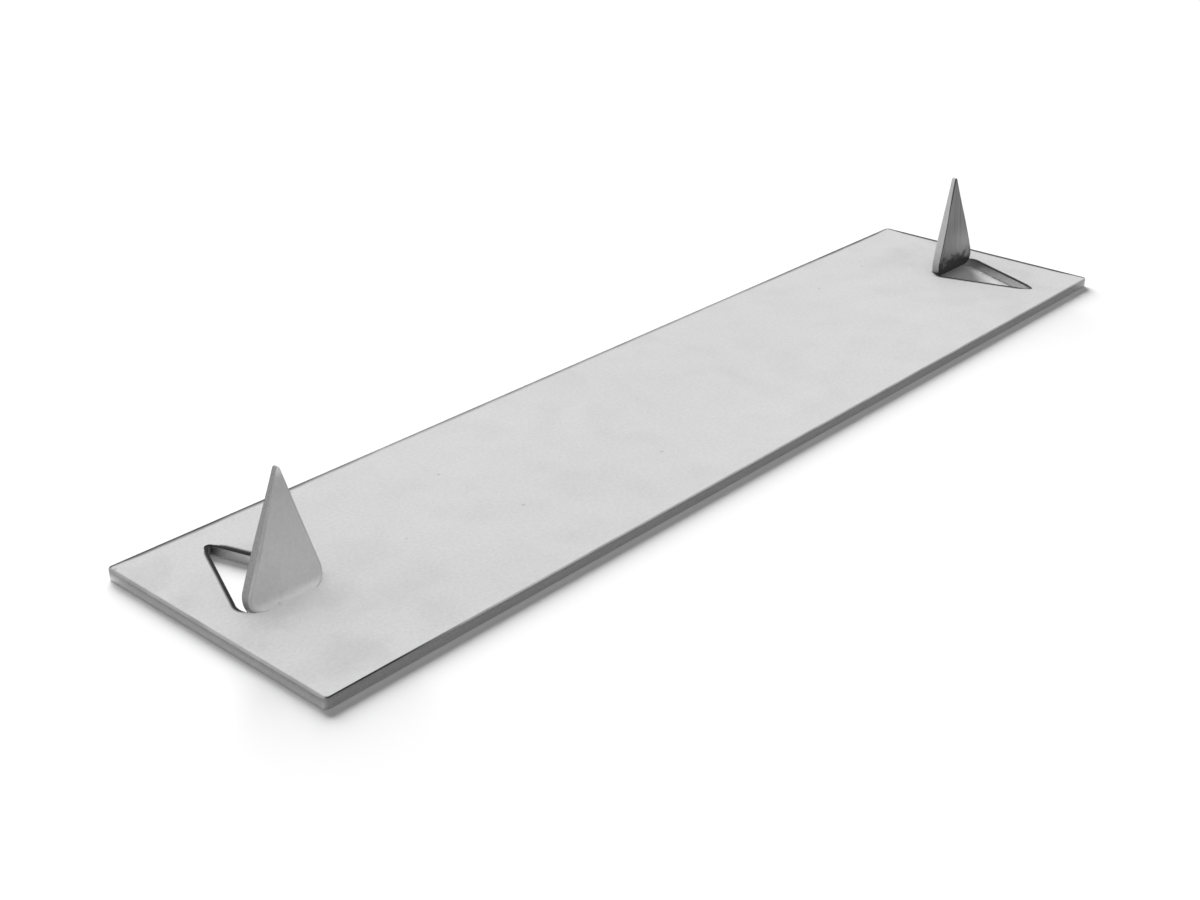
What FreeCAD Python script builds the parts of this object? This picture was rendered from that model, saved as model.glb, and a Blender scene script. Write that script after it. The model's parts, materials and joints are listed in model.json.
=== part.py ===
"""Stud guard: a steel strip for the edge of a stud, with two prongs lanced and folded out of the sheet.

The strip lies flat with its back on z = 0, its length along X, and the prongs pointing up along +Z.
The origin is the middle of the back face. Each prong is drawn first as it is cut in the flat sheet,
root on y = 0 and point along +Y, then folded up, and then set in the strip.
"""
import FreeCAD, Part
import math
import os

Vector = FreeCAD.Vector

# Driving dimensions in millimetres: the strip
SHEET = 1.37              # thickness of No. 16 gauge steel, 54 mil
PLATE_LENGTH = 152.4      # 6 in
PLATE_WIDTH = 38.1        # 1 1/2 in, the edge of a sawn stud
CORNER_RADIUS = 0.7       # corners of the strip, as cut
EDGE_ROLL = 0.3           # rounding that shearing leaves on the rim of the prong side

# Driving dimensions in millimetres and degrees: the prongs
PRONG_INSET = 9.4         # end of the strip to the middle of a prong's root
PRONG_HEIGHT = 15.0       # prong face of the strip to the point
SHOULDER_RADIUS = 2.7     # round corners of the cut, at both sides of the root
SHOULDER_SPAN = 4.2       # between the middles of these round corners
ROOT_BITE = 0.15          # how far short of their lowest point the cut stops, on the line of the root
TIP_RADIUS = 0.25         # blunt point
TIP_SWAY = 0.7            # point off the middle of the root, towards the middle of the strip
LANCE_GAP = 0.1           # clearance of the punch in its die, left round the flat prong
BEND_RADIUS = 0.8         # inside of the fold
BEND_SETBACK = 1.8        # start of the fold, past the strip's centre line
FOLD_ANGLE = 90.0         # square to the strip
NEUTRAL_FACTOR = 0.42     # depth of the unstretched layer in the fold, as a share of the sheet

# The second prong is the first one, turned half round about the middle of the strip
PRONG_TURNS = (0, 180)

# Sections that the fold is drawn through, and how closely joined faces have to meet
FOLD_SECTIONS = 9
JOIN_TOLERANCE = 0.001

# The flat length that the fold takes up, and the flat length of the whole prong
BEND_TURN = math.radians(FOLD_ANGLE)
FOLD_LENGTH = BEND_TURN * (BEND_RADIUS + NEUTRAL_FACTOR * SHEET)
FOLD_RISE = BEND_RADIUS * (1 - math.cos(BEND_TURN))
FLAT_LENGTH = FOLD_LENGTH + (PRONG_HEIGHT - FOLD_RISE) / math.sin(BEND_TURN)

# The axis of the fold, level with the middle of its inside radius
FOLD_CENTRE = Vector(0, 0, SHEET + BEND_RADIUS)
FOLD_AXIS = Vector(1, 0, 0)

# The round point of the flat prong, and its round shoulders at the left and right of the root
LEFT = -1
RIGHT = 1
TIP_CENTRE = Vector(TIP_SWAY, FLAT_LENGTH - TIP_RADIUS, 0)
SHOULDER_RISE = SHOULDER_RADIUS - ROOT_BITE
SHOULDER_CENTRES = {side: Vector(side * SHOULDER_SPAN / 2, SHOULDER_RISE, 0) for side in (LEFT, RIGHT)}


def strip():
    """The blank: a rectangle of sheet with rounded corners, and a rolled rim on its prong side."""
    corner = Vector(-PLATE_LENGTH / 2, -PLATE_WIDTH / 2, 0)
    blank = Part.makeBox(PLATE_LENGTH, PLATE_WIDTH, SHEET, corner)
    uprights = [edge for edge in blank.Edges if edge.BoundBox.ZLength > SHEET / 2]
    blank = blank.makeFillet(CORNER_RADIUS, uprights)
    rim = [edge for edge in blank.Edges if edge.BoundBox.ZMin > SHEET / 2]
    return blank.makeFillet(EDGE_ROLL, rim)


def towards(bearing, length):
    """A step of a given length in a given direction of the flat sheet."""
    return Vector(math.cos(bearing), math.sin(bearing), 0) * length


def side_bearing(side):
    """Direction square to one straight side, which touches that side's shoulder and the point."""
    run = TIP_CENTRE - SHOULDER_CENTRES[side]
    swing = math.acos((SHOULDER_RADIUS - TIP_RADIUS) / run.Length)
    return math.atan2(run.y, run.x) - side * swing


def side_spots(side, gap):
    """Where the curves and lines of one side meet, from the root up: foot, swell, waist and neck."""
    centre = SHOULDER_CENTRES[side]
    shoulder = SHOULDER_RADIUS + gap
    to_root = math.pi / 2 - side * (math.pi / 2 + math.asin(SHOULDER_RISE / shoulder))
    square_to_side = side_bearing(side)
    foot = centre + towards(to_root, shoulder)
    swell = centre + towards((to_root + square_to_side) / 2, shoulder)
    waist = centre + towards(square_to_side, shoulder)
    neck = TIP_CENTRE + towards(square_to_side, TIP_RADIUS + gap)
    return foot, swell, waist, neck


def flat_prong(gap):
    """A prong in the flat sheet, one sheet thick, with a gap added along its cut sides only."""
    left_foot, left_swell, left_waist, left_neck = side_spots(LEFT, gap)
    foot, swell, waist, neck = side_spots(RIGHT, gap)
    point = TIP_CENTRE + Vector(0, TIP_RADIUS + gap, 0)
    outline = [
        Part.makeLine(left_foot, foot),
        Part.Arc(foot, swell, waist).toShape(),
        Part.makeLine(waist, neck),
        Part.Arc(neck, point, left_neck).toShape(),
        Part.makeLine(left_neck, left_waist),
        Part.Arc(left_waist, left_swell, left_foot).toShape(),
    ]
    return Part.Face(Part.Wire(outline)).extrude(Vector(0, 0, SHEET))


def side_at(side, distance):
    """How far across the flat prong one side lies, at a distance from the start of the fold."""
    waist, neck = side_spots(side, 0)[2:]
    if distance > waist.y:
        return waist.x + (neck.x - waist.x) * (distance - waist.y) / (neck.y - waist.y)
    below_centre = SHOULDER_RISE - distance
    return SHOULDER_CENTRES[side].x + side * math.sqrt(SHOULDER_RADIUS ** 2 - below_centre ** 2)


def fold_section(share):
    """Outline of the sheet at a share of the fold, closer together where the round shoulder starts."""
    distance = FOLD_LENGTH * share ** 2
    left = side_at(LEFT, distance)
    right = side_at(RIGHT, distance)
    corners = [
        Vector(left, 0, 0),
        Vector(right, 0, 0),
        Vector(right, 0, SHEET),
        Vector(left, 0, SHEET),
    ]
    outline = Part.makePolygon(corners + corners[:1])
    outline.rotate(FOLD_CENTRE, FOLD_AXIS, FOLD_ANGLE * share ** 2)
    return outline


def prong():
    """The folded prong: the sheet carried round the bend, and the straight blade beyond it."""
    last = FOLD_SECTIONS - 1
    fold = Part.makeLoft([fold_section(i / last) for i in range(FOLD_SECTIONS)], True)
    reach = SHOULDER_SPAN + SHOULDER_RADIUS
    folded_part = Part.makeBox(2 * reach, FOLD_LENGTH, SHEET, Vector(-reach, 0, 0))
    blade = flat_prong(0).cut(folded_part)
    blade.translate(Vector(0, -FOLD_LENGTH, 0))
    blade.rotate(FOLD_CENTRE, FOLD_AXIS, FOLD_ANGLE)
    return fold.fuse([blade], JOIN_TOLERANCE)


def placed(shape, turn):
    """A prong's shape at its place near the -X end, or half a turn round at the other end."""
    moved = shape.copy()
    moved.translate(Vector(PRONG_INSET - PLATE_LENGTH / 2, -BEND_SETBACK, 0))
    moved.rotate(Vector(0, 0, 0), Vector(0, 0, 1), turn)
    return moved


def guard_plate():
    """The whole guard, one solid: the strip opened for each prong and joined to it at the root."""
    guard = strip()
    for turn in PRONG_TURNS:
        guard = guard.cut(placed(flat_prong(LANCE_GAP), turn))
        guard = guard.fuse([placed(prong(), turn)], JOIN_TOLERANCE)
    return guard.removeSplitter()


os.makedirs("parts", exist_ok=True)
guard = guard_plate()
guard.exportStep("parts/guard_plate.step")
print("solids", len(guard.Solids), "valid", guard.isValid(), "volume mm3", round(guard.Volume, 2))
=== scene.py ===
"""Stud guard, dressed: strip and folded prongs as one fine mesh, in galvanised steel on a white floor.

Lengths are in metres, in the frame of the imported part: the strip lies along X with its back on z = 0,
and the prongs point up along +Z. The mesh is drawn first as the flat sheet with its cuts, and the prongs
are then folded up out of it. Each prong is drawn with its root on y = 0 and its point along +Y.
"""
import json
import math
from dataclasses import dataclass

import bpy
import numpy as np
from bpy.props import FloatProperty, FloatVectorProperty, PointerProperty
from mathutils import Matrix, Vector
from mathutils.geometry import delaunay_2d_cdt


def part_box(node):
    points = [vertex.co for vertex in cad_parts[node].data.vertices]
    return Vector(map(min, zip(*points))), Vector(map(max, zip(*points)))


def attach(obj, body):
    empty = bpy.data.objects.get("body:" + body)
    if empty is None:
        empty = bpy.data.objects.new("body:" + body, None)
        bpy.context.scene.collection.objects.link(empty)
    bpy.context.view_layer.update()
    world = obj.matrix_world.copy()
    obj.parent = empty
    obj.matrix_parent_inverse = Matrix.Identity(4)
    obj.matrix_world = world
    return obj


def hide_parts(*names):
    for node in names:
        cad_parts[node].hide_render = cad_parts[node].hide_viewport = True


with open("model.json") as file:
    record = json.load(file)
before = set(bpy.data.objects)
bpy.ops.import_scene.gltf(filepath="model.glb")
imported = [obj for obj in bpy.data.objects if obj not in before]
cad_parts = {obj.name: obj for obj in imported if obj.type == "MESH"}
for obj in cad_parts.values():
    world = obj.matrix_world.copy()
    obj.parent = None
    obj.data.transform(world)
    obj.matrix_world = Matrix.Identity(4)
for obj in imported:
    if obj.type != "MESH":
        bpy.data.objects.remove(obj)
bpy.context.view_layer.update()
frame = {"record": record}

bl_info = {
    "name": "Stud guard",
    "version": (1, 0, 0),
    "blender": (4, 5, 0),
    "location": "3D View > Sidebar > Stud guard",
    "description": "Dresses the packed stud guard in galvanised steel and sets it on a white floor",
    "category": "Object",
}

MM = 0.001
NODE = "guard_plate"
PIECE = "guard_plate_dressed"
BODY = "root"

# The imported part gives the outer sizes, the thickness and the place of the prongs
NODE_LOW, NODE_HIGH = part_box(NODE)
MOUNTS = {mount["name"]: mount["pos_m"] for mount in frame["record"]["mounts"]}
SHEET = MOUNTS["stud_face"][2]
PRONG_ROOT = MOUNTS["prong_near"][:2]

# Depth of the unstretched layer in the fold, as a share of the sheet, and the angle of the fold
NEUTRAL_FACTOR = 0.42
FOLD_TURN = math.pi / 2

# Left and right of a prong, and the turns of the two prongs about the middle of the strip
LEFT = -1
RIGHT = 1
AS_DRAWN = 1
HALF_TURN = -1

# How finely the mesh is drawn
CORNER_STEPS = 8
SHOULDER_STEPS = 22
SIDE_STEPS = 26
POINT_STEPS = 6
ROLL_STEPS = 5
RIM_STEP = 1.2 * MM
OPEN_STEP = 3.0 * MM
NEAR_STEP = 0.8 * MM
FOLD_ROWS = 14
BLADE_STEP = 0.7 * MM

# Room that the points inside the faces leave for the rounding of the cuts, on a prong and round its hole
BLADE_CLEARANCE = 0.65 * MM
HOLE_CLEARANCE = 1.1 * MM

# The part of the sheet round a prong that is drawn finely, as left, low, right and high
NEAR_PRONG = np.array((-8.0, -6.0, 8.0, 19.5)) * MM


def linear(code):
    """Linear colour from an sRGB hex value."""
    shares = [int(code[i:i + 2], 16) / 255 for i in (1, 3, 5)]
    return tuple(s / 12.92 if s <= 0.04045 else ((s + 0.055) / 1.055) ** 2.4 for s in shares)


class StudGuardSizes(bpy.types.PropertyGroup):
    """Sizes of the sheet and of the prongs that are cut from it"""

    length: FloatProperty(
        name="Length", description="Length of the strip", unit="LENGTH", default=NODE_HIGH.x - NODE_LOW.x)
    width: FloatProperty(
        name="Width", description="Width of the strip", unit="LENGTH", default=NODE_HIGH.y - NODE_LOW.y)
    thickness: FloatProperty(
        name="Thickness", description="Thickness of the sheet", unit="LENGTH", default=SHEET)
    corner_radius: FloatProperty(
        name="Corner radius", description="Corners of the strip, as cut", unit="LENGTH", default=0.7 * MM)
    edge_burr: FloatProperty(
        name="Edge burr", description="Rounding of the rim on the back", unit="LENGTH", default=0.08 * MM)
    prong_height: FloatProperty(
        name="Prong height", description="Prong face to the point", unit="LENGTH",
        default=NODE_HIGH.z - SHEET)
    shoulder_radius: FloatProperty(
        name="Shoulder radius", description="Round corners at the root", unit="LENGTH", default=2.7 * MM)
    shoulder_span: FloatProperty(
        name="Shoulder span", description="Between the round corners", unit="LENGTH", default=4.2 * MM)
    root_bite: FloatProperty(
        name="Root bite", description="How far short of its lowest point the cut stops", unit="LENGTH",
        default=0.15 * MM)
    tip_radius: FloatProperty(
        name="Point radius", description="Bluntness of the point", unit="LENGTH", default=0.25 * MM)
    tip_sway: FloatProperty(
        name="Point sway", description="Point off the middle of the root", unit="LENGTH", default=0.7 * MM)
    lance_gap: FloatProperty(
        name="Cut gap", description="Clearance left round the flat prong", unit="LENGTH", default=0.1 * MM)
    bend_radius: FloatProperty(
        name="Bend radius", description="Inside of the fold", unit="LENGTH", default=0.8 * MM)


class StudGuardFinish(bpy.types.PropertyGroup):
    """Colours of the steel"""

    zinc_light: FloatVectorProperty(
        name="Light zinc", description="Lighter clouds of the zinc", subtype="COLOR",
        default=linear("#E8E8E8"))
    zinc_dark: FloatVectorProperty(
        name="Dark zinc", description="Darker clouds of the zinc", subtype="COLOR",
        default=linear("#DEDEDE"))
    # Colours of the bare cut where the tool rubbed and where it tore. On the strip's sides they are painted
    # shade, brighter below as painted light. The dark one also paints shade up the prongs.
    cut_bright_and_painted_light: FloatVectorProperty(
        name="Burnished cut", description="Cut edge that the tool rubbed bright", subtype="COLOR",
        default=linear("#DADADA"))
    cut_dark_and_shade: FloatVectorProperty(
        name="Torn cut", description="Cut edge where the steel tore", subtype="COLOR",
        default=linear("#767676"))
    # Dark colour of the rim lines: partly crushed zinc, partly painted shade along the rims and round the
    # holes. It also colours the smudges and specks.
    crushed: FloatVectorProperty(
        name="Crushed rim", description="Dark line where the zinc is crushed", subtype="COLOR",
        default=linear("#484848"))
    # Near black for the outside of each fold: painted shade, together with the cracked zinc there. It also
    # darkens the galled blotches.
    fold: FloatVectorProperty(
        name="Stretched fold", description="Outside of the fold, where the zinc cracked", subtype="COLOR",
        default=linear("#0A0A0A"))
    # Streak colours where the punch slid, painted darker on the outside of the prongs to stand for a dark
    # reflection.
    streak_light_and_shade: FloatVectorProperty(
        name="Light streaks", description="Lighter streaks where the punch slid", subtype="COLOR",
        default=linear("#989898"))
    streak_dark_and_shade: FloatVectorProperty(
        name="Dark streaks", description="Darker streaks where the punch slid", subtype="COLOR",
        default=linear("#5A5A5A"))


class StudGuardStage(bpy.types.PropertyGroup):
    """Floor, light and camera"""

    floor: FloatVectorProperty(
        name="Floor", description="Colour of the floor", subtype="COLOR", default=linear("#F6F6F6"))
    aim: FloatVectorProperty(
        name="Aim", description="Point of the prong face that the camera looks at", subtype="TRANSLATION",
        unit="LENGTH", default=(0.388 * MM, 5.097 * MM, SHEET))
    distance: FloatProperty(
        name="Distance", description="Camera to that point", unit="LENGTH", default=225.27 * MM)
    azimuth: FloatProperty(
        name="Azimuth", description="Camera round the strip", unit="ROTATION",
        default=math.radians(-48.794))
    elevation: FloatProperty(
        name="Elevation", description="Camera above the horizon", unit="ROTATION",
        default=math.radians(24.124))
    roll: FloatProperty(
        name="Roll", description="Tilt of the camera", unit="ROTATION", default=math.radians(-0.24))
    lens: FloatProperty(
        name="Lens", description="Focal length on a 36 mm frame", unit="CAMERA", default=49.463)
    shift: FloatVectorProperty(
        name="Shift", description="Frame across and up, as shares of its width", size=2,
        default=(-0.05, -0.0542))


def smooth(values, low, high):
    """0 below low, 1 above high, and an even swell between them."""
    share = np.clip((values - low) / (high - low), 0, 1)
    return share * share * (3 - 2 * share)


def between(first, second, share):
    """A value part of the way from the first to the second."""
    return first + (second - first) * share


def fold_length(sizes):
    """Flat length that the fold takes up."""
    return FOLD_TURN * (sizes.bend_radius + NEUTRAL_FACTOR * sizes.thickness)


def flat_length(sizes):
    """Length of a whole prong in the flat sheet."""
    return fold_length(sizes) + sizes.prong_height - sizes.bend_radius


def arc(centre, radius, start, stop, steps):
    """Points along a circle in the flat sheet, from one bearing to another."""
    turns = np.linspace(start, stop, steps + 1)
    return centre + radius * np.column_stack((np.cos(turns), np.sin(turns)))


def prong_side(sizes, side, gap):
    """One side of the flat prong from its foot to its point: round shoulder, straight side, blunt point."""
    rise = sizes.shoulder_radius - sizes.root_bite
    shoulder = np.array((side * sizes.shoulder_span / 2, rise))
    point = np.array((sizes.tip_sway, flat_length(sizes) - sizes.tip_radius))
    run = point - shoulder
    swing = math.acos((sizes.shoulder_radius - sizes.tip_radius) / np.linalg.norm(run))
    square_to_side = math.atan2(run[1], run[0]) - side * swing
    radius = sizes.shoulder_radius + gap
    to_root = math.pi / 2 - side * (math.pi / 2 + math.asin(rise / radius))
    swell = arc(shoulder, radius, to_root, square_to_side, SHOULDER_STEPS)
    blunt = arc(point, sizes.tip_radius + gap, square_to_side, math.pi / 2, POINT_STEPS)
    straight = np.linspace(swell[-1], blunt[0], SIDE_STEPS + 1)[1:-1]
    return np.concatenate((swell, straight, blunt))


def strip_outline(sizes):
    """The strip's outline with its rounded corners, walked with the steel on the left."""
    reach = np.array((sizes.length, sizes.width)) / 2 - sizes.corner_radius
    points = []
    for quarter, signs in enumerate(((1, 1), (-1, 1), (-1, -1), (1, -1))):
        start = quarter * math.pi / 2
        points.extend(arc(reach * signs, sizes.corner_radius, start, start + math.pi / 2, CORNER_STEPS))
    evened = []
    for here, there in zip(points, points[1:] + points[:1]):
        pieces = max(1, math.ceil(np.linalg.norm(there - here) / RIM_STEP))
        evened.extend(np.linspace(here, there, pieces, endpoint=False))
    return np.array(evened)


def inward(points):
    """Direction into the steel at each point of a closed outline."""
    ahead = np.roll(points, -1, axis=0) - points
    ahead /= np.linalg.norm(ahead, axis=1)[:, None]
    along = ahead + np.roll(ahead, 1, axis=0)
    along /= np.linalg.norm(along, axis=1)[:, None]
    return np.column_stack((-along[:, 1], along[:, 0]))


def placed(points, turn):
    """Points drawn about a prong's root, set in the strip as drawn or half a turn round."""
    return turn * (points + PRONG_ROOT)


@dataclass
class Rim:
    """One closed edge of the flat sheet, and how it is rounded on the prong side and on the back.

    The rounding is even in front. Behind, it has a reach across the face and a depth into the sheet.
    Beside it runs a thin dark line, partly crushed zinc and partly painted shade. The prong is the turn of
    the prong that a point folds up with, or 0. Rubbed is how bright the cut is, by the front and by the
    back:
    where the tool rubbed it, and on the strip's sides as painted shade, brighter below.
    """

    points: np.ndarray
    crushed: np.ndarray
    front_dark: np.ndarray
    back_dark: np.ndarray
    front_roll: np.ndarray
    back_reach: np.ndarray
    back_depth: np.ndarray
    prong: np.ndarray
    rubbed: np.ndarray
    rubbed_and_painted_behind: np.ndarray


# Sides of the strip in the names below: front is -Y, near is -X, burred is +X and +Y, end is +X alone

# Width of the dark line on the faces beside the rims, and how dark it is: partly crushed zinc,
# partly painted shade along the rims and round the holes
FRONT_CRUSH_AND_SHADE = 0.06 * MM
NEAR_CRUSH_AND_SHADE = 0.3 * MM
BURRED_CRUSH_AND_SHADE = 0.5 * MM
BURRED_CRUSH_AND_SHADE_WIDE = 0.95 * MM
HOLE_CRUSH_AND_SHADE = 0.56 * MM
HOLE_RIGHT_CRUSH_AND_SHADE = 0.9 * MM
HOLE_POINT_CRUSH_AND_SHADE = 0.14 * MM
PRONG_CRUSH_AND_SHADE = 0.18 * MM
POINT_CRUSH_AND_SHADE = 0.05 * MM
FRONT_DARK = 0.4
NEAR_DARK = 0.45
BURRED_DARK = 0.9
BURRED_DARK_MID = 0.62
END_DARK = 1.3
CORNER_DARK = 0.5
HOLE_DARK = 1.35
HOLE_BACK_DARK = 0.2
PRONG_DARK = 0.28
PRONG_BACK_DARK = 0.9

# The strip's rim is a little crisper on each side than the solid's. Its cut sides are painted shade, dark
# above and brighter below as painted light, most of all on the near end
FRONT_ROLL = 0.17 * MM
NEAR_ROLL = 0.22 * MM
BURRED_ROLL = 0.14 * MM
STRIP_PAINTED_SHADE = 0.15
STRIP_PAINTED_SHADE_BEHIND = 0.62
NEAR_PAINTED_SHADE_BEHIND = 0.9

# How far a side faces its own way where it takes over from its neighbour
SIDE_FADE = (0.4, 0.9)

# Where the line changes: by the front's near corner, in from the corners, and out along the burred sides
CORNER_FADE = (52 * MM, 72 * MM)
WIDE_FADE = (1.0 * MM, 5.0 * MM)
BURRED_FADE = (35 * MM, 65 * MM)


def strip_rim(sizes):
    """The sheared rim of the strip."""
    points = strip_outline(sizes)
    every = np.ones(len(points))
    outward = -inward(points)
    near = smooth(-outward[:, 0], *SIDE_FADE)
    burred = smooth(outward.max(axis=1), *SIDE_FADE)
    corner = smooth(-points[:, 0], *CORNER_FADE) * (1 - near)
    from_corner = (np.array((sizes.length, sizes.width)) / 2 - abs(points)).max(axis=1)
    burr = between(BURRED_CRUSH_AND_SHADE, BURRED_CRUSH_AND_SHADE_WIDE, smooth(from_corner, *WIDE_FADE))
    # The dark line here is partly crushed zinc and partly painted shade, heaviest along the far sides and
    # by the front's near corner
    crushed = between(between(FRONT_CRUSH_AND_SHADE, NEAR_CRUSH_AND_SHADE, near), burr, burred)
    burr_dark = between(BURRED_DARK_MID, BURRED_DARK, smooth(abs(points[:, 0]), *BURRED_FADE))
    burr_dark = between(burr_dark, END_DARK, smooth(outward[:, 0], *SIDE_FADE))
    dark = between(between(FRONT_DARK, NEAR_DARK, near) + CORNER_DARK * corner, burr_dark, burred)
    roll = between(between(FRONT_ROLL, NEAR_ROLL, near), BURRED_ROLL, np.maximum(burred, corner))
    return Rim(
        points=points, crushed=crushed, front_dark=dark, back_dark=every * 0, front_roll=roll,
        back_reach=every * sizes.edge_burr, back_depth=every * sizes.edge_burr, prong=every * 0,
        rubbed=every * STRIP_PAINTED_SHADE, rubbed_and_painted_behind=between(STRIP_PAINTED_SHADE_BEHIND, NEAR_PAINTED_SHADE_BEHIND, near))


# Rounding of the cut round a prong: crisp in front on the strip's side, and crisp behind on the prong's
HOLE_FRONT = 0.12 * MM
HOLE_BACK = 0.26 * MM
PRONG_FRONT = 0.28 * MM
PRONG_BACK = 0.07 * MM
POINT_FRONT = 0.12 * MM
POINT_BACK = 0.12 * MM
POINT_BACK_DEPTH = 0.42 * MM

# Share of the rounding at the foot, and the lengths over which it grows and the dark line starts
FOOT_SHARE = 0.35
FOOT_FADE = 0.9 * MM
TOE_FADE = (0.8 * MM, 3.0 * MM)

# Shares of the prong's length from which the point slims, and over which the hole comes to its point
POINT_FADE = 0.55
HOLE_POINT_FADE = (0.9, 1.0)

# How bright the tool left the cut: on the prong's left, on its right from low to high, and in the hole.
# Low down on the right it is painted darker, as shade by the foot
LEFT_RUBBED = 0.24
RIGHT_SHADED_LOW = 0.3
RIGHT_RUBBED = 0.68
RIGHT_FADE = (1.0 * MM, 6.0 * MM)
HOLE_RUBBED = 0.8
HOLE_POINT_RUBBED = 0.05

# The fold drags the strip's side of the cut back beside the shoulders
DRAG = 0.04 * MM
DRAG_RISE = (0.05 * MM, 0.5 * MM)
DRAG_FALL = (2.2 * MM, 4.5 * MM)


def slot_rim(sizes, turn):
    """The cut round one prong: up and down its strip side, then up and down its prong side."""
    strip_side = np.concatenate((
        prong_side(sizes, LEFT, sizes.lance_gap),
        prong_side(sizes, RIGHT, sizes.lance_gap)[-2::-1]))
    blade_side = np.concatenate((
        prong_side(sizes, RIGHT, 0),
        prong_side(sizes, LEFT, 0)[-2::-1]))
    points = np.concatenate((strip_side, blade_side))
    on_blade = np.arange(len(points)) >= len(strip_side)
    up = points[:, 1]
    drag = DRAG * smooth(up, *DRAG_RISE) * (1 - smooth(up, *DRAG_FALL)) * ~on_blade
    points = points + inward(points) * drag[:, None]
    foot = between(FOOT_SHARE, 1, smooth(up, 0, FOOT_FADE))
    toe = smooth(up, *TOE_FADE)
    slim = smooth(up / flat_length(sizes), POINT_FADE, 1)
    front = np.where(on_blade, between(PRONG_FRONT, POINT_FRONT, slim), HOLE_FRONT) * foot
    back = np.where(on_blade, between(PRONG_BACK, POINT_BACK, slim), HOLE_BACK) * foot
    back_depth = np.where(on_blade, between(PRONG_BACK, POINT_BACK_DEPTH, slim), HOLE_BACK) * foot
    hole_point = smooth(up / flat_length(sizes), *HOLE_POINT_FADE)
    right_side = points[:, 0] > sizes.tip_sway * up / flat_length(sizes)
    # Round the hole the dark line is partly crushed zinc and partly painted shade of the hole's walls,
    # wider on its right side and narrow at its point
    hole_line_crush_and_shade = np.where(right_side, HOLE_RIGHT_CRUSH_AND_SHADE, HOLE_CRUSH_AND_SHADE)
    hole_line_crush_and_shade = between(hole_line_crush_and_shade, HOLE_POINT_CRUSH_AND_SHADE, hole_point)
    crushed = np.where(on_blade, between(PRONG_CRUSH_AND_SHADE, POINT_CRUSH_AND_SHADE, slim), hole_line_crush_and_shade) * foot
    right_rubbed = between(RIGHT_SHADED_LOW, RIGHT_RUBBED, smooth(up, *RIGHT_FADE))
    hole_rubbed = between(HOLE_RUBBED, HOLE_POINT_RUBBED, hole_point)
    rubbed = np.where(on_blade, np.where(right_side, right_rubbed, LEFT_RUBBED), hole_rubbed)
    # The rims' darkness is partly crushed zinc and partly painted shade, darkest round the hole and fading
    # out by the toes
    return Rim(
        points=placed(points, turn), crushed=crushed,
        front_dark=np.where(on_blade, PRONG_DARK, HOLE_DARK * toe),
        back_dark=np.where(on_blade, PRONG_BACK_DARK, HOLE_BACK_DARK),
        front_roll=front, back_reach=back, back_depth=back_depth,
        prong=on_blade * turn, rubbed=rubbed, rubbed_and_painted_behind=rubbed)


def inside(points, outline):
    """Which points lie within a closed outline of the flat sheet."""
    x, y = points.T
    within = np.zeros(len(points), bool)
    for (x0, y0), (x1, y1) in zip(outline, np.roll(outline, -1, axis=0)):
        if y0 != y1:
            within ^= ((y0 > y) != (y1 > y)) & (x < x0 + (y - y0) * (x1 - x0) / (y1 - y0))
    return within


def grid(left, low, right, high, step):
    """Points in even rows over a rectangle of the flat sheet."""
    across = np.linspace(left, right, max(2, round((right - left) / step) + 1))
    up = np.linspace(low, high, max(2, round((high - low) / step) + 1))
    return np.array([(x, y) for y in up for x in across])


def clear_of(points, outline, clearance):
    """The points that keep off an outline, so that its rounding has room."""
    gaps = np.linalg.norm(points[:, None] - outline[None], axis=2).min(axis=1)
    return points[gaps > clearance]


def blade_points(sizes):
    """Rows of points across the flat prong, close together over the fold."""
    left = prong_side(sizes, LEFT, 0)
    right = prong_side(sizes, RIGHT, 0)
    fold_rows = np.linspace(0, fold_length(sizes), FOLD_ROWS + 1)
    top = flat_length(sizes) - sizes.tip_radius
    blade_rows = np.arange(fold_rows[-1] + BLADE_STEP, top, BLADE_STEP)
    points = []
    for up in np.concatenate((fold_rows, blade_rows)):
        start = np.interp(up, left[:, 1], left[:, 0])
        stop = np.interp(up, right[:, 1], right[:, 0])
        count = max(1, round((stop - start) / BLADE_STEP) - 1)
        points.extend((x, up) for x in np.linspace(start, stop, count + 2)[1:-1])
    return clear_of(np.array(points), np.concatenate((left, right)), BLADE_CLEARANCE)


def face_points(sizes):
    """Points inside the faces of the sheet, and the turn of the prong that each folds up with, or 0."""
    half = np.array((sizes.length, sizes.width)) / 2 - OPEN_STEP / 2
    coarse = grid(*-half, *half, OPEN_STEP)
    points = []
    prongs = []
    hole = np.concatenate((
        prong_side(sizes, LEFT, sizes.lance_gap),
        prong_side(sizes, RIGHT, sizes.lance_gap)[::-1]))
    near = grid(*NEAR_PRONG, NEAR_STEP)
    near = clear_of(near[~inside(near, hole)], hole, HOLE_CLEARANCE)
    blade = blade_points(sizes)
    for turn in (AS_DRAWN, HALF_TURN):
        local = turn * coarse - PRONG_ROOT
        coarse = coarse[((local < NEAR_PRONG[:2]) | (local > NEAR_PRONG[2:])).any(axis=1)]
        set_near = placed(near, turn)
        set_near = set_near[(abs(set_near) < half + OPEN_STEP / 4).all(axis=1)]
        points += [set_near, placed(blade, turn)]
        prongs += [np.zeros(len(set_near)), np.full(len(blade), turn)]
    points.append(coarse)
    prongs.append(np.zeros(len(coarse)))
    return np.concatenate(points), np.concatenate(prongs)


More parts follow.
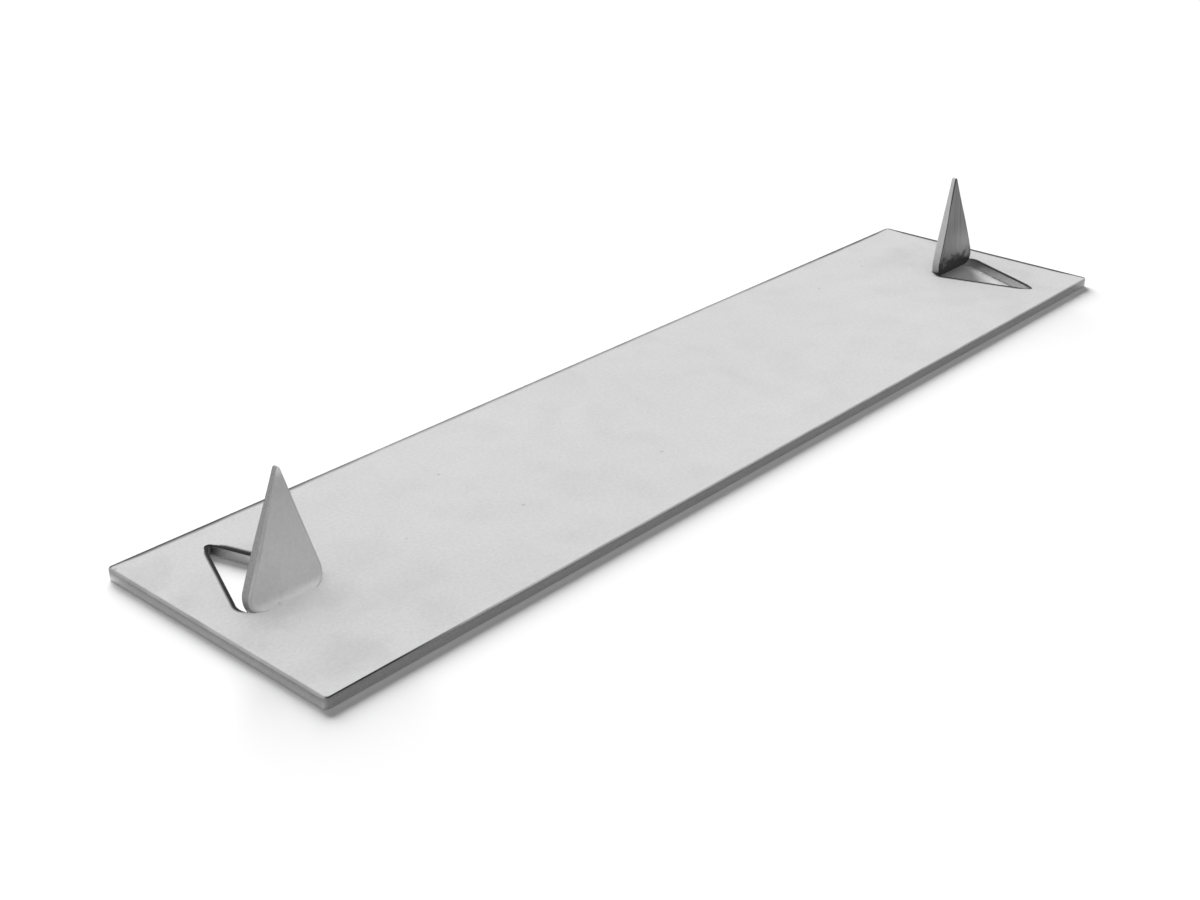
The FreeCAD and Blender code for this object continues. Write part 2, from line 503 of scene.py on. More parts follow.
def rim_rings(rim, thickness):
    """Rings of points along a rim from the front face to the back, with directions, cut and edge shares."""
    into = inward(rim.points)
    level = np.zeros(len(into))
    rings = [(rim.front_roll + rim.crushed, level + thickness, math.pi / 2, 0)]
    for turn in np.linspace(math.pi / 2, 0, ROLL_STEPS + 1):
        reach = rim.front_roll * (1 - math.cos(turn))
        height = thickness - rim.front_roll * (1 - math.sin(turn))
        rings.append((reach, height, turn, rim.front_dark))
    for turn in np.linspace(0, -math.pi / 2, ROLL_STEPS + 1):
        reach = rim.back_reach * (1 - math.cos(turn))
        height = rim.back_depth * (1 + math.sin(turn))
        rings.append((reach, height, turn, rim.back_dark))
    rings.append((rim.back_reach + rim.crushed, level, -math.pi / 2, 0))
    spots = []
    facings = []
    cuts = []
    edges = []
    for reach, height, turn, edge in rings:
        spots.append(np.column_stack((rim.points + into * reach[:, None], height)))
        facings.append(np.column_stack((-into * math.cos(turn), level + math.sin(turn))))
        cuts.append(level + math.cos(turn))
        edges.append(level + edge)
    return spots, facings, cuts, edges


# The filling of a flat outline: kept within it, and points closer than this are taken for one
FILL_INSIDE = 1
FILL_CLOSEST = 1e-7


def triangles(outlines, points):
    """Triangles that fill the first outline outside the others, as places in all of the points."""
    edges = []
    start = 0
    for outline in outlines:
        count = len(outline)
        edges += [(start + i, start + (i + 1) % count) for i in range(count)]
        start += count
    spots = np.concatenate((*outlines, points))
    result = delaunay_2d_cdt([Vector(spot) for spot in spots], edges, [], FILL_INSIDE, FILL_CLOSEST)
    faces, sources = result[2], result[3]
    corners = np.array([[sources[corner][0] for corner in face] for face in faces])
    middles = spots[corners].mean(axis=1)
    open_cut = np.any([inside(middles, outline) for outline in outlines[1:]], axis=0)
    return corners[~open_cut]


def folded(sizes, spots, facings):
    """Points of the flat prong, and the way they face, carried round the fold."""
    neutral = sizes.bend_radius + NEUTRAL_FACTOR * sizes.thickness
    turn = np.clip(spots[:, 1] / neutral, 0, FOLD_TURN)
    beyond = np.maximum(spots[:, 1] - fold_length(sizes), 0)
    radius = sizes.bend_radius + sizes.thickness - spots[:, 2]
    y = radius * np.sin(turn)
    z = sizes.thickness + sizes.bend_radius - radius * np.cos(turn) + beyond
    face_y = facings[:, 1] * np.cos(turn) - facings[:, 2] * np.sin(turn)
    face_z = facings[:, 1] * np.sin(turn) + facings[:, 2] * np.cos(turn)
    return np.column_stack((spots[:, 0], y, z)), np.column_stack((facings[:, 0], face_y, face_z))


@dataclass
class SheetMesh:
    """The flat sheet as points with their directions, finish shares and faces."""

    spots: np.ndarray
    facings: np.ndarray
    cut: np.ndarray
    edge: np.ndarray
    rubbed: np.ndarray
    prong: np.ndarray
    faces: list


def flat_sheet(sizes):
    """The sheet before folding: rounded rims joined by filled front and back faces."""
    rims = [strip_rim(sizes), slot_rim(sizes, AS_DRAWN), slot_rim(sizes, HALF_TURN)]
    spots, facings, cut, edge, rubbed, prong, faces = [], [], [], [], [], [], []
    front, back = [], []
    count = 0
    for rim in rims:
        ring_spots, ring_facings, ring_cuts, ring_edges = rim_rings(rim, sizes.thickness)
        size = len(rim.points)
        rings = len(ring_spots)
        spots += ring_spots
        facings += ring_facings
        cut += ring_cuts
        edge += ring_edges
        rubbed += [rim.rubbed] * (rings // 2) + [rim.rubbed_and_painted_behind] * (rings // 2)
        prong += [rim.prong] * rings
        for ring in range(rings - 1):
            upper = count + ring * size
            lower = upper + size
            for i in range(size):
                j = (i + 1) % size
                faces.append((upper + i, lower + i, lower + j, upper + j))
        front.append((count, ring_spots[0][:, :2]))
        back.append((count + (rings - 1) * size, ring_spots[-1][:, :2]))
        count += rings * size
    points, turns = face_points(sizes)
    for outlines, height, up in ((front, sizes.thickness, 1), (back, 0, -1)):
        places = np.concatenate([start + np.arange(len(outline)) for start, outline in outlines])
        places = np.concatenate((places, count + np.arange(len(points))))
        for corners in triangles([outline for start, outline in outlines], points):
            faces.append(tuple(int(places[corner]) for corner in corners[::up]))
        level = np.zeros(len(points))
        spots.append(np.column_stack((points, level + height)))
        facings.append(np.column_stack((level, level, level + up)))
        cut.append(level)
        edge.append(level)
        rubbed.append(level)
        prong.append(turns)
        count += len(points)
    return SheetMesh(
        np.concatenate(spots), np.concatenate(facings), np.concatenate(cut), np.concatenate(edge),
        np.concatenate(rubbed), np.concatenate(prong), faces)


# Where the punch begins to wipe the back of the sheet, and where it has wiped it all, from the root.
# The wiped side is painted darker, as a dark reflection
WIPE_FROM = -0.3 * MM
WIPE_TO = 0.9 * MM

# The shear and the fold leave the point thinner than the sheet: by how much, and from where along the prong
POINT_THINNED = 0.42
THINNED_FROM = 0.3


def guard_mesh(sizes):
    """The folded guard as a mesh, with finish shares and its place in the flat sheet on each point."""
    sheet = flat_sheet(sizes)
    spots = sheet.spots.copy()
    facings = sheet.facings.copy()
    flat = sheet.spots.copy()
    wiped = np.zeros(len(spots))
    blade = np.zeros(len(spots))
    for turn in (AS_DRAWN, HALF_TURN):
        on = sheet.prong == turn
        local = np.column_stack((turn * spots[on, :2] - PRONG_ROOT, spots[on, 2]))
        facing = np.column_stack((turn * facings[on, :2], facings[on, 2]))
        flat[on] = local
        blade[on] = local[:, 1] / flat_length(sizes)
        thinned = POINT_THINNED * smooth(blade[on], THINNED_FROM, 1)
        middle = sizes.thickness / 2
        local[:, 2] = between(local[:, 2], middle, thinned)
        wiped[on] = smooth(local[:, 1], WIPE_FROM, WIPE_TO) * (local[:, 2] < middle)
        local, facing = folded(sizes, local, facing)
        spots[on] = np.column_stack((placed(local[:, :2], turn), local[:, 2]))
        facings[on] = np.column_stack((turn * facing[:, :2], facing[:, 2]))
    mesh = bpy.data.meshes.new(PIECE)
    mesh.from_pydata(spots.tolist(), [], sheet.faces)
    if mesh.validate():
        raise RuntimeError("the guard's mesh has faulty faces")
    mesh.shade_smooth()
    mesh.normals_split_custom_set_from_vertices(facings.tolist())
    # Shares on each point: edge paints the dark rim lines, partly crushed zinc and partly painted shade;
    # rubbed is the cut's tone, painted shade on the strip's sides; wiped marks the punch-wiped sides that
    # are painted darker; blade is the place along a prong, for its painted shade and sheen
    shares = {"cut": sheet.cut, "edge": sheet.edge, "rubbed": sheet.rubbed, "wiped": wiped, "blade": blade}
    for name, values in shares.items():
        mesh.attributes.new(name, "FLOAT", "POINT").data.foreach_set("value", values)
    mesh.attributes.new("flat", "FLOAT_VECTOR", "POINT").data.foreach_set("vector", flat.ravel())
    return mesh


def add(tree, kind, sockets=None, **settings):
    """A new node with its settings, and its sockets linked to another node's output or set to a value."""
    node = tree.nodes.new(kind)
    for name, value in settings.items():
        setattr(node, name, value)
    for name, source in (sockets or {}).items():
        if isinstance(source, bpy.types.NodeSocket):
            tree.links.new(source, node.inputs[name])
        else:
            node.inputs[name].default_value = source
    return node


# Sockets of a Mix node for colours and for numbers
MIX_SHARE, MIX_A, MIX_B, MIX_RESULT = 0, 6, 7, 2
BLEND_A, BLEND_B, BLEND_RESULT = 2, 3, 0

# The zinc: size, detail and harshness of its grain, clouds and patches
GRAIN = 0.45 * MM
GRAIN_DETAIL = 3.0
GRAIN_HARSH = 0.6
CLOUD = 5.0 * MM
CLOUD_DETAIL = 4.0
CLOUD_HARSH = 0.55
PATCH = 35.0 * MM
PATCH_DETAIL = 2.0

# Their shares in the tone of the zinc, the tones that give its two colours, and its roughness in the clouds
GRAIN_SHARE = 0.5
CLOUD_SHARE = 0.3
PATCH_SHARE = 0.2
TONE_DARK = 0.35
TONE_LIGHT = 0.65
CLOUD_LOW = 0.3
CLOUD_HIGH = 0.7
ZINC_SMOOTHER = 0.86
ZINC_ROUGHER = 0.9


def zinc_coat(tree, finish, here):
    """Colour and roughness of the zinc, with the grain and the clouds that they come from."""
    grain = add(tree, "ShaderNodeTexNoise", {
        "Vector": here, "Scale": 1 / GRAIN, "Detail": GRAIN_DETAIL,
        "Roughness": GRAIN_HARSH}).outputs["Fac"]
    cloud = add(tree, "ShaderNodeTexNoise", {
        "Vector": here, "Scale": 1 / CLOUD, "Detail": CLOUD_DETAIL,
        "Roughness": CLOUD_HARSH}).outputs["Fac"]
    patch = add(tree, "ShaderNodeTexNoise", {
        "Vector": here, "Scale": 1 / PATCH, "Detail": PATCH_DETAIL}).outputs["Fac"]
    tone = 0.0
    for pattern, share in ((grain, GRAIN_SHARE), (cloud, CLOUD_SHARE), (patch, PATCH_SHARE)):
        tone = add(tree, "ShaderNodeMath", {
            0: pattern, 1: share, 2: tone}, operation="MULTIPLY_ADD").outputs[0]
    tone = add(tree, "ShaderNodeMapRange", {
        "Value": tone, "From Min": TONE_DARK, "From Max": TONE_LIGHT}).outputs["Result"]
    colour = add(tree, "ShaderNodeMix", {
        MIX_SHARE: tone, MIX_A: (*finish.zinc_dark, 1), MIX_B: (*finish.zinc_light, 1)},
        data_type="RGBA").outputs[MIX_RESULT]
    rough = add(tree, "ShaderNodeMapRange", {
        "Value": cloud, "From Min": CLOUD_LOW, "From Max": CLOUD_HIGH,
        "To Min": ZINC_SMOOTHER, "To Max": ZINC_ROUGHER}).outputs["Result"]
    return colour, rough, grain, cloud


# Smudges: size, detail and wander, the values that they spread over, and how dark they are along the strip
SMUDGE = 6.0 * MM
SMUDGE_DETAIL = 3.0
SMUDGE_WANDER = 0.2
SMUDGE_FROM = 0.48
SMUDGE_TO = 0.8
SMUDGE_FAINT = 0.04
SMUDGE_STRONG = 0.1
MARKS_FROM = 52.0 * MM
MARKS_TO = 68.0 * MM

# Specks: spacing, reach, dark middle, and how dark they are
SPECK_SPACING = 7.0 * MM
SPECK_REACH = 0.315 * MM
SPECK_CORE = 0.14 * MM
SPECK_DARK = 0.2


def marked_zinc(tree, finish, here, zinc):
    """The zinc with faint dark smudges, stronger towards the ends of the strip by the prongs, and a few
    small specks.
    """
    along = add(tree, "ShaderNodeSeparateXYZ", {"Vector": here}).outputs["X"]
    along = add(tree, "ShaderNodeMath", {0: along}, operation="ABSOLUTE").outputs[0]
    strength = add(tree, "ShaderNodeMapRange", {
        "Value": along, "From Min": MARKS_FROM, "From Max": MARKS_TO,
        "To Min": SMUDGE_FAINT, "To Max": SMUDGE_STRONG}).outputs["Result"]
    smudge = add(tree, "ShaderNodeTexNoise", {
        "Vector": here, "Scale": 1 / SMUDGE, "Detail": SMUDGE_DETAIL,
        "Distortion": SMUDGE_WANDER}).outputs["Fac"]
    smudge = add(tree, "ShaderNodeMapRange", {
        "Value": smudge, "From Min": SMUDGE_FROM, "From Max": SMUDGE_TO,
        "To Max": strength}).outputs["Result"]
    speck = add(tree, "ShaderNodeTexVoronoi", {
        "Vector": here, "Scale": 1 / SPECK_SPACING}).outputs["Distance"]
    speck = add(tree, "ShaderNodeMapRange", {
        "Value": speck, "From Min": SPECK_REACH / SPECK_SPACING, "From Max": SPECK_CORE / SPECK_SPACING,
        "To Max": SPECK_DARK}).outputs["Result"]
    marks = add(tree, "ShaderNodeMath", {0: smudge, 1: speck}, operation="MAXIMUM").outputs[0]
    return add(tree, "ShaderNodeMix", {
        MIX_SHARE: marks, MIX_A: zinc, MIX_B: (*finish.crushed, 1)}, data_type="RGBA").outputs[MIX_RESULT]


# Painted shade up each prong: where along the prong it is darkest, where the point's painted highlight
# starts and is full, and how dark the shade gets
SHADE_DARKEST_AT = 0.85
HIGHLIGHT_FROM = 0.93
HIGHLIGHT_TO = 0.98
PRONG_SHADE = 0.3


def shaded_prong_zinc(tree, finish, blade, zinc):
    """The zinc of the prongs, painted darker and darker as shade up towards the point, which keeps the
    plain zinc as a painted highlight.
    """
    share = add(tree, "ShaderNodeMapRange", {
        "Value": blade, "From Min": 0.0, "From Max": SHADE_DARKEST_AT, "To Max": PRONG_SHADE}).outputs["Result"]
    prong_shaded = add(tree, "ShaderNodeMix", {
        MIX_SHARE: share, MIX_A: zinc, MIX_B: (*finish.cut_dark_and_shade, 1)}, data_type="RGBA").outputs[MIX_RESULT]
    point = add(tree, "ShaderNodeMapRange", {
        "Value": blade, "From Min": HIGHLIGHT_FROM, "From Max": HIGHLIGHT_TO}).outputs["Result"]
    return add(tree, "ShaderNodeMix", {
        MIX_SHARE: point, MIX_A: prong_shaded, MIX_B: zinc}, data_type="RGBA").outputs[MIX_RESULT]


# Streaks: size, detail, harshness, the values that they spread over, and their share in the wiped tone
STREAK_WIDTH = 0.35 * MM
STREAK_LENGTH = 14.0 * MM
STREAK_DETAIL = 3.0
STREAK_HARSH = 0.65
STREAK_FROM = 0.3
STREAK_TO = 0.75
STREAK_SHARE = 0.6

# Painted sheen: shares of the prong's length between which the wiped side is painted lighter towards
# the root, and by how much
SHEEN_FROM = 0.55
SHEEN_TO = 0.22
PAINTED_SHEEN = 0.6

# Galled blotches, darker towards the root as painted shade: size, detail, sway along the prong, where they
# start and are full, and how dark they are
GALL = 1.5 * MM
GALL_DETAIL = 3.0
GALL_HARSH = 0.6
GALL_SWAY = 0.4
GALL_FROM = 0.44
GALL_TO = 0.36
GALL_AND_SHADE_DARK = 0.72

# The near-black band round the outside of the fold, painted shade with the split zinc: how far its end
# sways along the prong, and where it starts and is full
SPLIT_AND_SHADE_SWAY = 0.03
SPLIT_AND_SHADE_FROM = 0.125
SPLIT_AND_SHADE_TO = 0.095


def wiped_and_shaded_zinc(tree, finish, flat, blade):
    """Streaks where the punch slid, painted darker as a dark reflection and lighter low down as a painted
    sheen, and the galled and split outside of the fold, painted near black as shade.
    """
    streak_at = add(tree, "ShaderNodeVectorMath", {
        0: flat, 1: (1 / STREAK_WIDTH, 1 / STREAK_LENGTH, 1 / STREAK_LENGTH)},
        operation="MULTIPLY").outputs[0]
    streak = add(tree, "ShaderNodeTexNoise", {
        "Vector": streak_at, "Scale": 1.0, "Detail": STREAK_DETAIL,
        "Roughness": STREAK_HARSH}).outputs["Fac"]
    tone = add(tree, "ShaderNodeMapRange", {
        "Value": streak, "From Min": STREAK_FROM, "From Max": STREAK_TO}).outputs["Result"]
    lighter = add(tree, "ShaderNodeMapRange", {
        "Value": blade, "From Min": SHEEN_FROM, "From Max": SHEEN_TO, "To Max": PAINTED_SHEEN},
        interpolation_type="SMOOTHSTEP").outputs["Result"]
    tone = add(tree, "ShaderNodeMath", {
        0: tone, 1: STREAK_SHARE, 2: lighter}, operation="MULTIPLY_ADD").outputs[0]
    wipe = add(tree, "ShaderNodeMix", {
        MIX_SHARE: tone, MIX_A: (*finish.streak_dark_and_shade, 1), MIX_B: (*finish.streak_light_and_shade, 1)},
        data_type="RGBA").outputs[MIX_RESULT]
    gall = add(tree, "ShaderNodeTexNoise", {
        "Vector": flat, "Scale": 1 / GALL, "Detail": GALL_DETAIL, "Roughness": GALL_HARSH}).outputs["Fac"]
    gall = add(tree, "ShaderNodeMath", {
        0: gall, 1: GALL_SWAY, 2: blade}, operation="MULTIPLY_ADD").outputs[0]
    gall = add(tree, "ShaderNodeMapRange", {
        "Value": gall, "From Min": GALL_FROM, "From Max": GALL_TO, "To Max": GALL_AND_SHADE_DARK}).outputs["Result"]
    split = add(tree, "ShaderNodeMath", {
        0: streak, 1: SPLIT_AND_SHADE_SWAY, 2: blade}, operation="MULTIPLY_ADD").outputs[0]
    split = add(tree, "ShaderNodeMapRange", {
        "Value": split, "From Min": SPLIT_AND_SHADE_FROM, "From Max": SPLIT_AND_SHADE_TO}).outputs["Result"]
    galled_and_fold_shade = add(tree, "ShaderNodeMath", {0: gall, 1: split}, operation="MAXIMUM").outputs[0]
    return add(tree, "ShaderNodeMix", {
        MIX_SHARE: galled_and_fold_shade, MIX_A: wipe, MIX_B: (*finish.fold, 1)}, data_type="RGBA").outputs[MIX_RESULT]


# Cut edges: size, detail and share of the torn grain, and the values that come out dark and bright
TEAR = 0.18 * MM
TEAR_DETAIL = 2.0
TEAR_SHARE = 0.5
RUB_DARK = 0.2
RUB_BRIGHT = 1.2


def cut_steel(tree, finish, here, rubbed):
    """Colour of the bare cut, bright where the tool rubbed and dark where it tore, and its torn grain."""
    tear = add(tree, "ShaderNodeTexNoise", {
        "Vector": here, "Scale": 1 / TEAR, "Detail": TEAR_DETAIL}).outputs["Fac"]
    # On the strip's sides the rubbed share is painted shade, brighter below as painted light
    rub = add(tree, "ShaderNodeMath", {
        0: tear, 1: TEAR_SHARE, 2: rubbed}, operation="MULTIPLY_ADD").outputs[0]
    rub = add(tree, "ShaderNodeMapRange", {
        "Value": rub, "From Min": RUB_DARK, "From Max": RUB_BRIGHT}).outputs["Result"]
    colour = add(tree, "ShaderNodeMix", {
        MIX_SHARE: rub, MIX_A: (*finish.cut_dark_and_shade, 1), MIX_B: (*finish.cut_bright_and_painted_light, 1)},
        data_type="RGBA").outputs[MIX_RESULT]
    return colour, tear


# The dark line, partly crushed zinc and partly painted shade: how much the clouds break it up, and the
# values at which it starts and is full
CRUSH_SHADE_BROKEN = 0.3
CRUSH_SHADE_FROM = 0.25
CRUSH_SHADE_TO = 1.1

# How square to the faces a cut starts to be bare and is all bare, and the roughness of the worked steel
CUT_FROM = 0.9
CUT_TO = 1.0
CUT_ROUGH = 0.5
WIPED_ROUGH = 0.4

# Relief of the grain: its strength and depth
RELIEF_STRENGTH = 0.25
RELIEF_DEPTH = 0.02 * MM


def galvanised_steel(finish):
    """Hot-dip galvanised mild steel with a minimised spangle, sheared and lanced after coating.

    The zinc is a matte, even light grey with fine grain and faint clouds; up each prong it is painted
    darker as shade, with a painted highlight at the point. The cut edges are bare steel, bright where the
    tool rubbed and dark where it tore; on the strip's sides they are painted shade, brighter below. A dark
    line along the rims is partly crushed zinc and partly painted shade. The punch wiped the outside of each
    prong in dark streaks, painted darker as a dark reflection and lighter low down as a painted sheen,
    darkest round the fold, where the outside is painted near black as shade.
    """
    material = bpy.data.materials.new("galvanised_steel")
    material.use_nodes = True
    tree = material.node_tree
    tree.nodes.clear()
    here = add(tree, "ShaderNodeTexCoord").outputs["Object"]
    flat = add(tree, "ShaderNodeAttribute", attribute_name="flat").outputs["Vector"]
    cut, edge, rubbed, wiped, blade = [
        add(tree, "ShaderNodeAttribute", attribute_name=name).outputs["Fac"]
        for name in ("cut", "edge", "rubbed", "wiped", "blade")]

    # The coated faces, with the side of each prong that the punch wiped, painted darker as a dark
    # reflection
    zinc, zinc_rough, grain, cloud = zinc_coat(tree, finish, here)
    zinc = marked_zinc(tree, finish, here, zinc)
    zinc = shaded_prong_zinc(tree, finish, blade, zinc)
    wipe = wiped_and_shaded_zinc(tree, finish, flat, blade)
    coated = add(tree, "ShaderNodeMix", {
        MIX_SHARE: wiped, MIX_A: zinc, MIX_B: wipe}, data_type="RGBA").outputs[MIX_RESULT]
    coated_rough = add(tree, "ShaderNodeMix", {
        MIX_SHARE: wiped, BLEND_A: zinc_rough, BLEND_B: WIPED_ROUGH}).outputs[BLEND_RESULT]

    # The dark line along the rims, soft towards the face: partly crushed zinc, partly painted shade
    rim_crush_shade = add(tree, "ShaderNodeMath", {
        0: cloud, 1: CRUSH_SHADE_BROKEN, 2: edge}, operation="MULTIPLY_ADD").outputs[0]
    rim_crush_shade = add(tree, "ShaderNodeMapRange", {
        "Value": rim_crush_shade, "From Min": CRUSH_SHADE_FROM, "From Max": CRUSH_SHADE_TO},
        interpolation_type="SMOOTHSTEP").outputs["Result"]
    faced = add(tree, "ShaderNodeMix", {
        MIX_SHARE: rim_crush_shade, MIX_A: coated, MIX_B: (*finish.crushed, 1)}, data_type="RGBA").outputs[MIX_RESULT]

    # The cut edges, painted as shade on the strip's sides and brighter below as painted light
    wall, tear = cut_steel(tree, finish, here, rubbed)
    bare = add(tree, "ShaderNodeMapRange", {
        "Value": cut, "From Min": CUT_FROM, "From Max": CUT_TO}).outputs["Result"]
    colour = add(tree, "ShaderNodeMix", {
        MIX_SHARE: bare, MIX_A: faced, MIX_B: wall}, data_type="RGBA").outputs[MIX_RESULT]
    rough = add(tree, "ShaderNodeMix", {
        MIX_SHARE: bare, BLEND_A: coated_rough, BLEND_B: CUT_ROUGH}).outputs[BLEND_RESULT]

    # Relief: the grain of the zinc, and the finer tear of the cut
    relief = add(tree, "ShaderNodeMix", {
        MIX_SHARE: bare, BLEND_A: grain, BLEND_B: tear}).outputs[BLEND_RESULT]
    bump = add(tree, "ShaderNodeBump", {
        "Strength": RELIEF_STRENGTH, "Distance": RELIEF_DEPTH, "Height": relief}).outputs["Normal"]
    shader = add(tree, "ShaderNodeBsdfPrincipled", {
        "Base Color": colour, "Metallic": 1.0, "Roughness": rough, "Normal": bump})
    add(tree, "ShaderNodeOutputMaterial", {"Surface": shader.outputs["BSDF"]})
    return material


# White of the floor's glow and of the sky
WHITE = (1, 1, 1, 1)

# The floor: its depth under the strip's back, reach in metres, roughness, and glow that no shadow takes
FLOOR_DROP = 0.05 * MM
FLOOR_REACH = 2.0
FLOOR_ROUGH = 0.9
FLOOR_GLOW = 0.04


def white_card(colour):
    """Matte white card that takes soft shadows, with a faint glow to the camera and in the steel."""
    material = bpy.data.materials.new("white_card")
    material.use_nodes = True
    tree = material.node_tree
    tree.nodes.clear()
    path = add(tree, "ShaderNodeLightPath").outputs
    seen = path["Is Camera Ray"]
    for way in ("Is Glossy Ray", "Is Transmission Ray"):
        seen = add(tree, "ShaderNodeMath", {0: seen, 1: path[way]}, operation="MAXIMUM").outputs[0]
    glow = add(tree, "ShaderNodeMath", {0: seen, 1: FLOOR_GLOW}, operation="MULTIPLY").outputs[0]
    shader = add(tree, "ShaderNodeBsdfPrincipled", {
        "Base Color": (*colour, 1), "Roughness": FLOOR_ROUGH, "Specular IOR Level": 0.0,
        "Emission Color": WHITE, "Emission Strength": glow})
    add(tree, "ShaderNodeOutputMaterial", {"Surface": shader.outputs["BSDF"]})
    return material


# The backdrop that the steel shows: bright above and dimmer low down, the way up, and where the change lies
SKY_BRIGHT = 1.13
SKY_DIM = 0.4
SKY_AXIS = (0.1, 0.15, 0.98)
SKY_FROM = -0.2
SKY_TO = 0.7

# The white that the camera sees behind all, and the even light that falls on the floor from all round
SKY_SEEN = 1.0
FILL = 0.19


def studio_sky(scene):
    """Soft light from all round, white to the camera, and a backdrop for the steel, brighter above."""
    world = bpy.data.worlds.new("studio")
    scene.world = world
    world.use_nodes = True
    tree = world.node_tree
    tree.nodes.clear()
    way = add(tree, "ShaderNodeTexCoord").outputs["Generated"]
    height = add(tree, "ShaderNodeVectorMath", {
        0: way, 1: Vector(SKY_AXIS).normalized()}, operation="DOT_PRODUCT").outputs["Value"]
    backdrop = add(tree, "ShaderNodeMapRange", {
        "Value": height, "From Min": SKY_FROM, "From Max": SKY_TO, "To Min": SKY_DIM, "To Max": SKY_BRIGHT},
        interpolation_type="SMOOTHSTEP").outputs["Result"]
    path = add(tree, "ShaderNodeLightPath").outputs
    shown = add(tree, "ShaderNodeMath", {
        0: path["Is Glossy Ray"], 1: path["Is Transmission Ray"]}, operation="MAXIMUM").outputs[0]
    strength = add(tree, "ShaderNodeMix", {
        MIX_SHARE: shown, BLEND_A: FILL, BLEND_B: backdrop}).outputs[BLEND_RESULT]
    strength = add(tree, "ShaderNodeMix", {
        MIX_SHARE: path["Is Camera Ray"], BLEND_A: strength, BLEND_B: SKY_SEEN}).outputs[BLEND_RESULT]
    sky = add(tree, "ShaderNodeBackground", {"Color": WHITE, "Strength": strength})
    add(tree, "ShaderNodeOutputWorld", {"Surface": sky.outputs["Background"]})


# The lamp that casts the soft shadow: the way it comes from, how wide it looks, and how bright it is
LAMP_FROM = (0.44, 0.89, 0.51)
LAMP_SPREAD = math.radians(44)
LAMP_STRENGTH = 6.25


def soft_lamp(scene):
    """A wide distant lamp behind the strip, for the soft shadow in front. The steel does not mirror it."""
    lamp = bpy.data.lights.new("soft_lamp", "SUN")
    lamp.energy = LAMP_STRENGTH
    lamp.angle = LAMP_SPREAD
    item = bpy.data.objects.new("soft_lamp", lamp)
    item.rotation_euler = Vector(LAMP_FROM).to_track_quat("Z", "Y").to_euler()
    item.visible_glossy = False
    scene.collection.objects.link(item)


def floor_card(scene, colour):
    """A wide sheet of card under the strip."""
    mesh = bpy.data.meshes.new("floor")
    square = ((-1, -1), (1, -1), (1, 1), (-1, 1))
    corners = [(x * FLOOR_REACH, y * FLOOR_REACH, -FLOOR_DROP) for x, y in square]
    mesh.from_pydata(corners, [], [(0, 1, 2, 3)])
    mesh.materials.append(white_card(colour))
    floor = bpy.data.objects.new("floor", mesh)
    scene.collection.objects.link(floor)
    return floor


# Width of the camera's frame in millimetres, and the nearest that it sees
FRAME_WIDTH = 36.0
NEAREST = 1.0 * MM


def photo_camera(scene, stage):
    """The camera, turned about the point it looks at."""
    lens = bpy.data.cameras.new("camera")
    lens.sensor_fit = "HORIZONTAL"
    lens.sensor_width = FRAME_WIDTH
    lens.lens = stage.lens
    lens.shift_x, lens.shift_y = stage.shift
    lens.clip_start = NEAREST
    camera = bpy.data.objects.new("camera", lens)
    turn = (
        Matrix.Rotation(stage.azimuth, 4, "Z")
        @ Matrix.Rotation(math.pi / 2 - stage.elevation, 4, "X")
        @ Matrix.Rotation(stage.roll, 4, "Z"))
    back = turn.col[2].to_3d()
    camera.matrix_world = Matrix.Translation(Vector(stage.aim) + back * stage.distance) @ turn
    scene.collection.objects.link(camera)
    scene.camera = camera


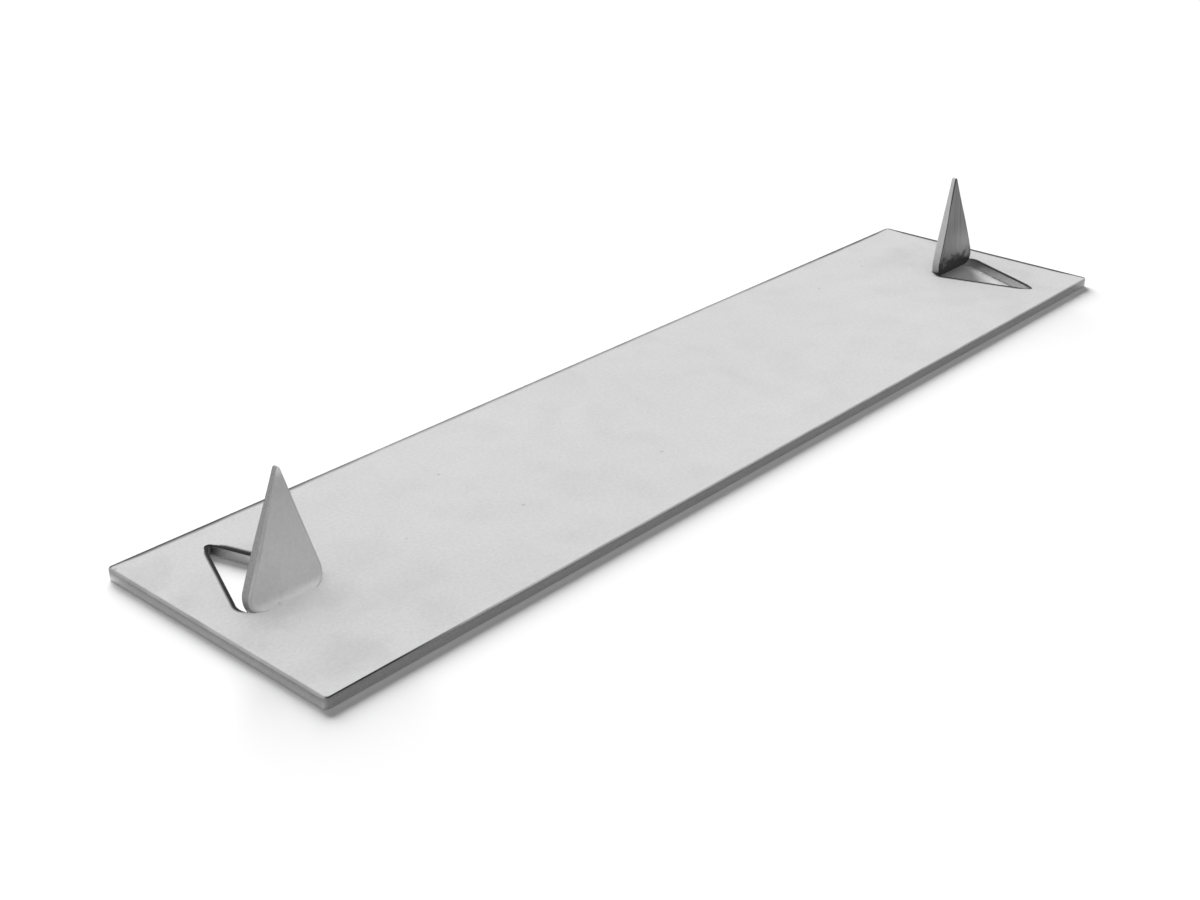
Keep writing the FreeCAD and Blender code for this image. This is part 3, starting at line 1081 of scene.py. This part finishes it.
class STUDGUARD_OT_plate(bpy.types.Operator):
    """Builds the strip with its two folded prongs in place of the plain solid"""

    bl_idname = "stud_guard.plate"
    bl_label = "Build the guard plate"

    def execute(self, context):
        scene = context.scene
        mesh = guard_mesh(scene.stud_guard_sizes)
        mesh.materials.append(galvanised_steel(scene.stud_guard_finish))
        plate = bpy.data.objects.new(PIECE, mesh)
        scene.collection.objects.link(plate)
        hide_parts(NODE)
        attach(plate, BODY)
        return {"FINISHED"}


class STUDGUARD_OT_stage(bpy.types.Operator):
    """Sets up the floor, the light and the camera"""

    bl_idname = "stud_guard.stage"
    bl_label = "Set the stage"

    def execute(self, context):
        scene = context.scene
        stage = scene.stud_guard_stage
        floor_card(scene, stage.floor)
        studio_sky(scene)
        soft_lamp(scene)
        photo_camera(scene, stage)
        scene.view_settings.view_transform = "Standard"
        return {"FINISHED"}


class STUDGUARD_PT_sidebar(bpy.types.Panel):
    """Sizes, colours and the two building steps"""

    bl_idname = "STUDGUARD_PT_sidebar"
    bl_label = "Stud guard"
    bl_space_type = "VIEW_3D"
    bl_region_type = "UI"
    bl_category = "Stud guard"

    def draw(self, context):
        scene = context.scene
        for group in (scene.stud_guard_sizes, scene.stud_guard_finish, scene.stud_guard_stage):
            column = self.layout.column()
            for name in group.__annotations__:
                column.prop(group, name)
        self.layout.operator(STUDGUARD_OT_plate.bl_idname)
        self.layout.operator(STUDGUARD_OT_stage.bl_idname)


CLASSES = (
    StudGuardSizes, StudGuardFinish, StudGuardStage,
    STUDGUARD_OT_plate, STUDGUARD_OT_stage, STUDGUARD_PT_sidebar)


def register():
    """Adds the classes, and the settings that each scene keeps."""
    for each in CLASSES:
        bpy.utils.register_class(each)
    bpy.types.Scene.stud_guard_sizes = PointerProperty(type=StudGuardSizes)
    bpy.types.Scene.stud_guard_finish = PointerProperty(type=StudGuardFinish)
    bpy.types.Scene.stud_guard_stage = PointerProperty(type=StudGuardStage)


def unregister():
    """Takes the settings and the classes away again."""
    del bpy.types.Scene.stud_guard_stage
    del bpy.types.Scene.stud_guard_finish
    del bpy.types.Scene.stud_guard_sizes
    for each in reversed(CLASSES):
        bpy.utils.unregister_class(each)


def main():
    """Builds the guard and its stage."""
    register()
    bpy.ops.stud_guard.plate()
    bpy.ops.stud_guard.stage()


if __name__ == "__main__":
    main()
